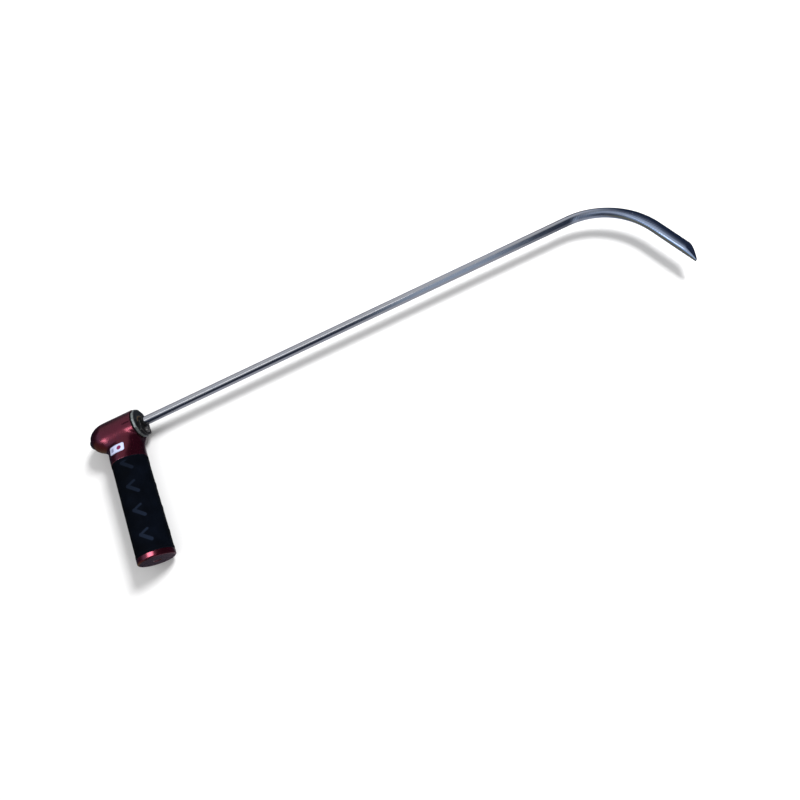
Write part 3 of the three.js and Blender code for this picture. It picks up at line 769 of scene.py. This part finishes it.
def keeper_screw():
    six = flats(6)
    head_back = KEEPER_FRONT + 0.05
    socket = 2.5 / math.cos(math.pi / 6) / 2
    depth = 1.68
    profile = [
        (SCREW_END, 0), (SCREW_END + 0.4, 1.5), (head_back, 1.5), (head_back, SCREW_HEAD),
        (SCREW_FRONT - 0.35, SCREW_HEAD), (SCREW_FRONT, SCREW_HEAD - 0.4), (SCREW_FRONT, socket + 0.3),
        (SCREW_FRONT - 0.25, socket, six), (SCREW_FRONT - depth, socket, six), (SCREW_FRONT - depth - 0.5, 0),
    ]
    verts, faces = lathe(rounded(profile, 0.12, 3), "x", 72, y=SCREW_Y)
    obj = add_piece("cap_screw", verts, faces, SCREW_STEEL, "handle", ["keeper_screw"],
                    crisp=28)
    even_normals(obj)
    return obj


# ---------------------------------------------------------------- lock


def push_button():
    groove_low, groove_high, groove_floor = -29.15, -27.81, 3.86
    shoulder, stem = -24.35, 3.0
    profile = rounded([
        (BUTTON_FACE + 0.35, 0), (BUTTON_FACE + 0.35, 1.6), (BUTTON_FACE, 2.6),
        (BUTTON_FACE, BUTTON_RADIUS - 0.6),
        (BUTTON_FACE + 0.6, BUTTON_RADIUS), (groove_low, BUTTON_RADIUS), (groove_low, groove_floor),
        (groove_high, groove_floor), (groove_high, BUTTON_RADIUS), (shoulder, BUTTON_RADIUS),
        (shoulder, stem), (BUTTON_END, stem), (BUTTON_END, 0),
    ], 0.35, 5)
    verts, faces = lathe(profile, "x", 72)
    obj = add_piece("button", verts, faces, BLACK_STEEL, "button", ["push_button"], crisp=35)
    even_normals(obj)
    return obj


def return_spring(turns=6, wire=0.65, around=12):
    """A round-wire coil."""
    radius = span("return_spring", Z)[1] - wire
    start, end = SPRING_REAR + wire, SPRING_FRONT - wire
    steps = turns * 40
    verts, faces = [], []
    for i in range(steps + 1):
        share = i / steps
        ease = smoothstep(0, 0.08, share) * 0.5 + smoothstep(0.92, 1, share) * 0.5
        level = 0.96 * share + 0.04 * ease
        angle = 2 * math.pi * turns * share
        out = Vector((0, math.cos(angle), math.sin(angle)))
        centre = Vector((start + (end - start) * level, AXIS_Y, 0)) + radius * out
        for k in range(around):
            turn = 2 * math.pi * k / around
            point = centre + wire * (math.cos(turn) * out + math.sin(turn) * Vector((1, 0, 0)))
            verts.append(tuple(point * MM))
    for i in range(steps):
        for k in range(around):
            a, b = i * around + k, i * around + (k + 1) % around
            faces.append((a, b, b + around, a + around))
    faces.append(tuple(range(around - 1, -1, -1)))
    faces.append(tuple(steps * around + k for k in range(around)))
    obj = add_piece("lock_spring", verts, faces, SPRING_STEEL, "handle", ["return_spring"])
    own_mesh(obj)
    return obj


# ---------------------------------------------------------------- rod


def rod_line(distance):
    """The rod's centre line by distance from its rear end: x, y in the barrel's frame, and its turn."""
    before = ROD_STRAIGHT - ROD_END
    turn = min(max((distance - before) / BEND_RADIUS, 0), BEND_ANGLE)
    past = max(distance - before - BEND_RADIUS * BEND_ANGLE, 0)
    x = ROD_END + min(distance, before) + BEND_RADIUS * math.sin(turn) + past * math.cos(turn)
    y = -BEND_RADIUS * (1 - math.cos(turn)) - past * math.sin(turn)
    return x, y, turn


def rod_stations():
    bend = ROD_STRAIGHT - ROD_END
    tip = bend + BEND_RADIUS * BEND_ANGLE
    bevel = tip + TIP_LENGTH - TIP_BEVEL
    straight = np.linspace(0.5, bend, 60)
    curve = np.linspace(bend, tip, 90)[1:]
    shank = np.linspace(tip, bevel, 20)[1:]
    nose = np.linspace(bevel, bevel + TIP_BEVEL, 32)[1:]
    return [0, 0.15, *straight, *curve, *shank, *nose], bend, tip, bevel


def dent_rod(around=64):
    """A swept bar: round, then flattened through the bend to a two-faced end that comes to a point."""
    stations, bend, tip, bevel = rod_stations()
    verts, along, turn_round, worked = [], [], [], []
    for number, distance in enumerate(stations):
        x, y, turn = rod_line(distance)
        flat = float(smoothstep(bend + (tip - bend) / 3, tip, distance))
        gone = min(max((distance - bevel) / TIP_BEVEL, 0), 1)
        left = TIP_NOSE + (1 - TIP_NOSE) * (1 - gone ** TIP_CURVE)
        full = ROD_RADIUS + (TIP_WIDTH / 2 - ROD_RADIUS) * flat
        thick = ROD_RADIUS + (TIP_THICKNESS / 2 - ROD_RADIUS) * flat
        small = 0.94 if number == 0 else 1
        half, deep = full * left * small, thick * (0.35 + 0.65 * left) * small
        middle = half - full if distance > bevel else 0
        starts = smoothstep(bend + 4, bend + 14, distance)
        power = 2 / (2 + 0.7 * flat)
        for k in range(around):
            angle = 2 * math.pi * k / around
            c, s = math.cos(angle), math.sin(angle)
            out = middle + half * math.copysign(abs(c) ** power, c)
            up = deep * math.copysign(abs(s) ** power, s)
            px, py = x + out * math.sin(turn), y + out * math.cos(turn)
            verts.append((px * MM, (AXIS_Y + py) * MM, up * MM))
            along.append(distance)
            turn_round.append(angle * ROD_RADIUS)
            zone = float(starts * (1 - smoothstep(tip, tip + 14, distance)))
            worked.append(zone * (1 - float(smoothstep(-0.45, 0.15, c))))
    faces = []
    for i in range(len(stations) - 1):
        for k in range(around):
            a, b = i * around + k, i * around + (k + 1) % around
            faces.append((a, b, b + around, a + around))
    last = (len(stations) - 1) * around
    faces.append(tuple(range(around - 1, -1, -1)))
    faces.append(tuple(last + k for k in range(around)))
    obj = add_piece("bent_rod", verts, faces, ROD_STEEL, "rod", ["dent_rod"], crisp=50)
    store(obj.data, "along", along)
    store(obj.data, "round", turn_round)
    store(obj.data, "worked", worked)
    return obj


# ---------------------------------------------------------------- grip

MARK_COLUMNS = 3
MARK_AROUND = math.radians(16)
MARK_PITCH = 25.5
MARK_FIRST = 23.8
MARK_ROWS = 4
MARK_ARMS = (((-5.0, 1.2), (2.6, 5.0), 1.15), ((-5.0, 1.2), (4.0, -6.2), 1.75))
MARK_HEIGHT = 0.28
BAND = 2.6


def stroke(s, t, start, end, half):
    """1 on a straight stroke, easing to 0 at its edge."""
    a, b = np.array(start), np.array(end)
    run = b - a
    share = np.clip(((s - a[0]) * run[0] + (t - a[1]) * run[1]) / (run @ run), 0, 1)
    away = np.hypot(s - a[0] - share * run[0], t - a[1] - share * run[1])
    return 1 - smoothstep(half - 0.3, half + 0.25, away)


def mark_share(angle, y):
    """How much of a raised chevron there is at an angle round the grip and a height on it."""
    pitch = 2 * math.pi / MARK_COLUMNS
    s = ((angle - MARK_AROUND + pitch / 2) % pitch - pitch / 2) * GRIP_RADIUS
    row = np.clip(np.round((y - MARK_FIRST) / MARK_PITCH), 0, MARK_ROWS - 1)
    t = y - MARK_FIRST - row * MARK_PITCH
    return np.maximum.reduce([stroke(s, t, *arm) for arm in MARK_ARMS])


def grip_sleeve(segments=288, rows=250):
    """The rubber: edge bands at full size, a slightly sunken field and raised chevrons in it."""
    inner = 13.43
    corner = 0.45
    heights = np.concatenate([
        GRIP_LOW + corner * (1 - np.cos(np.linspace(0, math.pi / 2, 5)))[:-1],
        np.linspace(GRIP_LOW + corner, GRIP_HIGH - corner, rows),
        [GRIP_HIGH],
    ])
    heights = np.unique(np.round(np.clip(heights, GRIP_LOW, GRIP_HIGH), 6))
    angles = np.linspace(0, 2 * math.pi, segments, endpoint=False)
    verts, marks = [], []
    for y in heights:
        share = 1 - smoothstep(GRIP_LOW, GRIP_HIGH, y)
        size = GRIP_RADIUS + (GRIP_WIDE - GRIP_RADIUS) * share
        near = min(y - GRIP_LOW, GRIP_HIGH - y)
        if near < corner:
            size -= corner - math.sqrt(max(corner ** 2 - (corner - near) ** 2, 0))
        sunk = MARK_HEIGHT * smoothstep(BAND, BAND + 0.7, near)
        raised = mark_share(angles, y)
        radius = size - sunk * (1 - raised)
        verts += [(r * math.sin(a) * MM, y * MM, r * math.cos(a) * MM) for a, r in zip(angles, radius)]
        # painted highlight: the chevrons' lighter colour fades towards the top of the grip, as their sheen
        # does
        sheen_fade = 1 - 0.5 * float(smoothstep(MARK_FIRST, MARK_FIRST + 3 * MARK_PITCH, y))
        marks += list(raised * sheen_fade * float(smoothstep(BAND, BAND + 0.7, near)))
    count = len(heights)
    for y in (heights[-1], heights[0]):
        verts += [(inner * math.sin(a) * MM, y * MM, inner * math.cos(a) * MM) for a in angles]
        marks += [0.0] * segments
    loops = list(range(count)) + [count, count + 1]
    faces = []
    for a, b in zip(loops, loops[1:] + loops[:1]):
        for i in range(segments):
            j = (i + 1) % segments
            faces.append((a * segments + i, a * segments + j, b * segments + j, b * segments + i))
    obj = add_piece("grip_rubber_sleeve", verts, faces, RUBBER, "handle", ["grip_sleeve"],
                    crisp=60)
    store(obj.data, "mark_and_sheen", marks)
    return obj


def end_cap():
    rim = CAP_TOP_OF_RIM - 0.05
    plug, groove = 10.17, 0.95
    seal = rim + 8
    edge = [(1.8 - 1.8 * math.sin(a), CAP_RADIUS - 1.8 + 1.8 * math.cos(a))
            for a in np.linspace(math.pi / 2, 0, 12)]
    profile = [(0.5, 0), (0.5, 3.2), (0, 4.0), *edge]
    profile += rounded([
        (rim - 1.2, CAP_RADIUS), (rim - 0.45, CAP_RADIUS), (rim, CAP_RADIUS - 0.45), (rim, plug),
        (seal - groove, plug), (seal - groove, plug - 2 * groove), (seal + groove, plug - 2 * groove),
        (seal + groove, plug), (CAP_PLUG_TOP - 1, plug), (CAP_PLUG_TOP, plug - 1), (CAP_PLUG_TOP, 0),
    ], 0.14, 3)
    verts, faces = lathe(profile, "y", 128)
    obj = add_piece("butt_cap", verts, faces, RED_CAP, "handle", ["end_cap"], crisp=30)
    even_normals(obj)
    return obj


# ---------------------------------------------------------------- pieces kept from the frame

KEPT = {
    "thrust_washer": BLACK_STEEL,
    "hub_pin": SPRING_STEEL,
    "lock_sleeve": BLACK_STEEL,
    "button_seal": SEAL,
    "key_pin_upper": SPRING_STEEL,
    "key_pin_lower": SPRING_STEEL,
    "grip_core": ALUMINIUM,
    "cap_seal": SEAL,
}


def dress_frame():
    for node, material in KEPT.items():
        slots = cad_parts[node].data.materials
        if len(slots):
            slots[0] = material
        else:
            slots.append(material)


# ---------------------------------------------------------------- studio

CAMERA_AT = (0.3421, -0.1759, 0.6572)
CAMERA_RIGHT = (0.90505, -0.36982, -0.21002)
CAMERA_DOWN = (-0.41588, -0.87293, -0.25502)
CAMERA_LENS = 32.6
CAMERA_SENSOR = 36.0
FLOOR_HALF = 6.0


def camera():
    data = bpy.data.cameras.new("camera")
    data.sensor_width = CAMERA_SENSOR
    data.lens = CAMERA_LENS
    data.clip_start = 0.01
    obj = bpy.data.objects.new("camera", data)
    right, down = Vector(CAMERA_RIGHT).normalized(), Vector(CAMERA_DOWN)
    up = -(down - down.dot(right) * right).normalized()
    turn = Matrix((right, up, right.cross(up))).transposed().to_4x4()
    obj.matrix_world = Matrix.Translation(CAMERA_AT) @ turn
    bpy.context.scene.collection.objects.link(obj)
    bpy.context.scene.camera = obj


def floor():
    level = min(cad_box[0][2], 0)
    bm = bmesh.new()
    bmesh.ops.create_grid(bm, x_segments=8, y_segments=8, size=FLOOR_HALF)
    mesh = bpy.data.meshes.new("floor")
    bm.to_mesh(mesh)
    bm.free()
    obj = bpy.data.objects.new("floor", mesh)
    obj.location = (0, 0, level)
    bpy.context.scene.collection.objects.link(obj)
    look = Look("floor_paper", Specular_IOR_Level=0.0)
    grain = look.noise(0.02, 3.0)
    tone = look.mix(grain, (0.88, 0.88, 0.885), (0.9, 0.9, 0.9))
    mesh.materials.append(look.finish(tone, look.spread(grain, 0, 1, 0.9, 1.0)))
    obj.visible_glossy = False


def panel(name, at, towards, wide, tall, radiance, colour=(1, 1, 1), lights_only=()):
    """A soft rectangular light of a given brightness that shines in metal, on all pieces or a few."""
    data = bpy.data.lights.new(name, "AREA")
    data.shape = "RECTANGLE"
    data.size, data.size_y = wide, tall
    data.energy = radiance * math.pi * wide * tall
    data.color = colour
    obj = bpy.data.objects.new(name, data)
    obj.location = at
    obj.rotation_mode = "QUATERNION"
    obj.rotation_quaternion = (Vector(towards) - Vector(at)).to_track_quat("-Z", "Y")
    obj.visible_camera = False
    obj.visible_diffuse = False
    bpy.context.scene.collection.objects.link(obj)
    if lights_only:
        chosen = bpy.data.collections.new(name + "_on")
        for piece in lights_only:
            chosen.objects.link(piece)
        obj.light_linking.receiver_collection = chosen
    return obj


def lights(head, cap, rod):
    """Panels that only shine in the metal, and one soft light that lays the shadow."""
    panel("head_softbox", (-0.55, -0.38, 1.10), (-0.55, 0.141, 0), 0.7, 0.20, 11.0, lights_only=head)
    panel("cap_softbox", (-0.07, 0.24, 1.16), (-0.07, 0, 0), 0.62, 0.7, 12.0, lights_only=[cap])
    panel("rod_strip", (-0.15, 0.10, 1.10), (-0.15, 0.141, 0), 0.9, 0.12, 1.6, lights_only=[rod])
    key = panel("key", (1.62, 0.81, 1.6), (0.29, 0.07, 0), 0.62, 0.62, 52.0)
    key.visible_diffuse = True
    key.visible_glossy = False


ROOM_DARK = (0.020, 0.027, 0.048)
ROOM_LIGHT = (0.52, 0.53, 0.56)
ROOM_BLUE = (0.46, 0.62, 0.84)
ROOM_SKY = (0.36, 0.43, 0.54)
ROOM_FLOOR = (0.40, 0.41, 0.45)
ROOM_MAT = (0.20, 0.175, 0.110)
ROOM_FILL = 0.66

# Where the bands that metal sees start and end, by the direction of the reflected ray.
# Each is 0 at its first number and 1 at its second.
CEILING_UP, CEILING_SIDE, CEILING_END = (0.02, 0.22), (-0.62, -0.25), (0.22, -0.12)
CEILING_RUNS = (1.0, -0.5, 0.0)
CEILING_LOWERED, CEILING_DROP = (-0.40, -0.55), -0.42
WINDOW_FROM, WINDOW_TO = (-0.10, 0.0), (0.18, 0.08)
GROUND_DOWN, GROUND_FRONT, GROUND_REAR = (0.30, -0.30), (0.30, 0.08), (-0.44, -0.35)
MAT_DOWN, MAT_REAR, MAT_SIDE = (0.10, -0.05), (-0.48, -0.60), (0.10, -0.03)
BLUE_REAR = (-0.42, -0.60)


def room():
    """White for the camera, an even white fill for matt surfaces, and another room for reflections: a pale
    ceiling, bluish and lower to the rear, over dark walls with a grey-blue band, a grey ground and a mat."""
    world = bpy.data.worlds.new("room")
    bpy.context.scene.world = world
    world.use_nodes = True
    tree = world.node_tree

    def node(kind, **settings):
        made = tree.nodes.new(kind)
        for key, value in settings.items():
            setattr(made, key, value)
        return made

    def ramp(source, low, high):
        made = node("ShaderNodeMapRange", interpolation_type="SMOOTHSTEP")
        tree.links.new(source, made.inputs[0])
        made.inputs[1].default_value, made.inputs[2].default_value = low, high
        return made.outputs[0]

    def times(a, b):
        made = node("ShaderNodeMath", operation="MULTIPLY")
        tree.links.new(a, made.inputs[0])
        tree.links.new(b, made.inputs[1])
        return made.outputs[0]

    def blend(share, first, second):
        made = node("ShaderNodeMix", data_type="RGBA")
        tree.links.new(share, made.inputs[0])
        for socket, value in ((made.inputs[6], first), (made.inputs[7], second)):
            if isinstance(value, tuple):
                socket.default_value = (*value, 1)
            else:
                tree.links.new(value, socket)
        return made.outputs[2]

    where = node("ShaderNodeSeparateXYZ")
    tree.links.new(node("ShaderNodeTexCoord").outputs["Generated"], where.inputs[0])
    x, y, z = where.outputs
    to_tip = node("ShaderNodeVectorMath", operation="DOT_PRODUCT")
    tree.links.new(node("ShaderNodeTexCoord").outputs["Generated"], to_tip.inputs[0])
    to_tip.inputs[1].default_value = CEILING_RUNS
    lowered = node("ShaderNodeMath", operation="MULTIPLY_ADD")
    tree.links.new(ramp(x, *CEILING_LOWERED), lowered.inputs[0])
    lowered.inputs[1].default_value = CEILING_DROP
    tree.links.new(z, lowered.inputs[2])
    height = lowered.outputs[0]
    ceiling = times(times(ramp(height, *CEILING_UP), ramp(y, *CEILING_SIDE)),
                    ramp(to_tip.outputs["Value"], *CEILING_END))
    window = times(ramp(x, *WINDOW_FROM), ramp(x, *WINDOW_TO))
    ground = times(ramp(z, *GROUND_DOWN), times(ramp(x, *GROUND_FRONT), ramp(x, *GROUND_REAR)))
    mat = times(ramp(height, *MAT_DOWN), times(ramp(x, *MAT_REAR), ramp(y, *MAT_SIDE)))
    walls = blend(mat, blend(window, ROOM_DARK, ROOM_SKY), ROOM_MAT)
    above = blend(ramp(x, *BLUE_REAR), ROOM_LIGHT, ROOM_BLUE)
    seen_in_metal = blend(ceiling, blend(ground, walls, ROOM_FLOOR), above)
    fill, metal, sight = (node("ShaderNodeBackground") for _ in range(3))
    fill.inputs["Color"].default_value = (1, 1, 1, 1)
    fill.inputs["Strength"].default_value = ROOM_FILL
    tree.links.new(seen_in_metal, metal.inputs["Color"])
    sight.inputs["Color"].default_value = (1, 1, 1, 1)
    path = node("ShaderNodeLightPath")
    glossy, seen = node("ShaderNodeMixShader"), node("ShaderNodeMixShader")
    for mixer, share, first, second in (
            (glossy, "Is Glossy Ray", fill, metal), (seen, "Is Camera Ray", glossy, sight)):
        tree.links.new(path.outputs[share], mixer.inputs[0])
        tree.links.new(first.outputs[0], mixer.inputs[1])
        tree.links.new(second.outputs[0], mixer.inputs[2])
    tree.links.new(seen.outputs[0], tree.nodes["World Output"].inputs["Surface"])


# ---------------------------------------------------------------- making

camera()
floor()
room()
bpy.context.scene.view_settings.view_transform = "Standard"

housing, cap = head_housing(), end_cap()
front_gasket()
plate = front_plate()
front_bushing()
rod_hub()
keeper_plate()
screw = keeper_screw()
push_button()
return_spring()
bar = dent_rod()
grip_sleeve()
label_patch()
dress_frame()
lights([housing, plate, screw], cap, bar)
